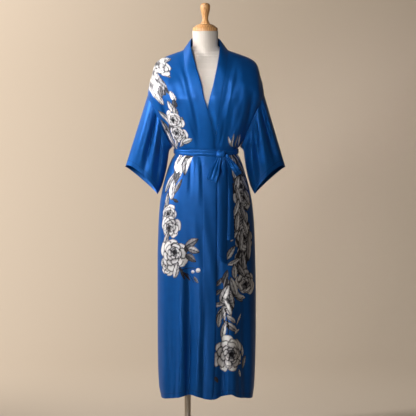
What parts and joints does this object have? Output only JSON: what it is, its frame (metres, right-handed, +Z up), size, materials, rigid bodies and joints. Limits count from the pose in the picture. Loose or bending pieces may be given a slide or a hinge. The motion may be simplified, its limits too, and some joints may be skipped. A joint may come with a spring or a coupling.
{
  "type": "long satin kimono on a dress form",
  "caption": "Long satin wrap kimono robe with wide elbow sleeves, folded neckband and a sash tied in a bow, on a limbless dress form with pole stand.",
  "frame": {"origin": "middle of the round base's underside, on the floor", "axes": "+Z up, front towards -Y, +X to the wearer's left"},
  "size_m": [0.624, 0.38, 1.6839],
  "materials": {
    "satin": "royal blue satin with a grey and white floral print, soft sheen",
    "form_shell": "off-white smooth matt shell",
    "turned_wood": "turned and lacquered light wood",
    "polished_steel": "polished"
  },
  "bodies": {
    "root": {"back_panel": "satin", "right_front": "satin", "left_front": "satin", "right_sleeve": "satin", "left_sleeve": "satin", "neckband_right": "satin", "neckband_left": "satin", "neckband_back": "satin", "belt": "satin", "belt_knot": "satin", "bow_loop_right": "satin", "bow_loop_left": "satin", "belt_tail_front": "satin", "belt_tail_back": "satin", "dress_form": "form_shell", "neck_cap": "turned_wood", "cap_knob": "turned_wood", "form_collar": "polished_steel", "pole": "polished_steel", "base_socket": "polished_steel", "base_plate": "polished_steel"}
  },
  "joints": []
}
